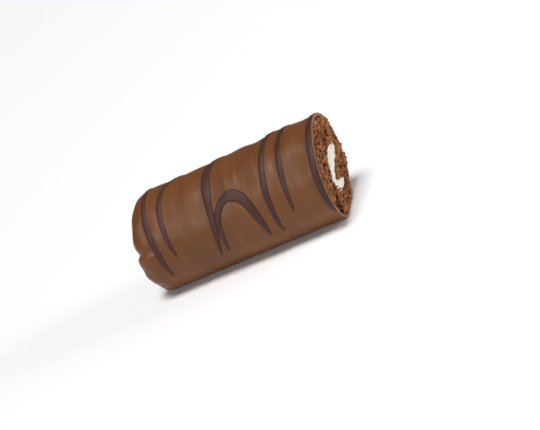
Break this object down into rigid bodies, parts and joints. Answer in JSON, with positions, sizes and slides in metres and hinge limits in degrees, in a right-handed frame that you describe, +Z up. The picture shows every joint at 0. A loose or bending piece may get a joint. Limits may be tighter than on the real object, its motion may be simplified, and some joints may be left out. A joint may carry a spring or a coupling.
{
  "type": "swiss roll cake",
  "caption": "Small chocolate swiss roll, coated in milk chocolate with dark drizzle lines, one end cut off to show porous sponge round a white cream curl",
  "frame": {"origin": "the middle of the roll's box, on the surface that its flat base rests on", "axes": "+X along the roll to the cut end, +Z up"},
  "size_m": [0.0702, 0.0352, 0.0318],
  "materials": {
    "milk_chocolate": "satin",
    "chocolate_sponge": "matte",
    "cream_filling": "satin",
    "dark_chocolate": "satin"
  },
  "bodies": {
    "root": {"coating": "milk_chocolate", "sponge": "chocolate_sponge", "cream": "cream_filling", "drizzle_1": "dark_chocolate", "drizzle_2": "dark_chocolate", "drizzle_3": "dark_chocolate", "drizzle_4": "dark_chocolate", "drizzle_5": "dark_chocolate", "drizzle_6": "dark_chocolate", "drizzle_7": "dark_chocolate", "drizzle_8": "dark_chocolate"}
  },
  "joints": []
}
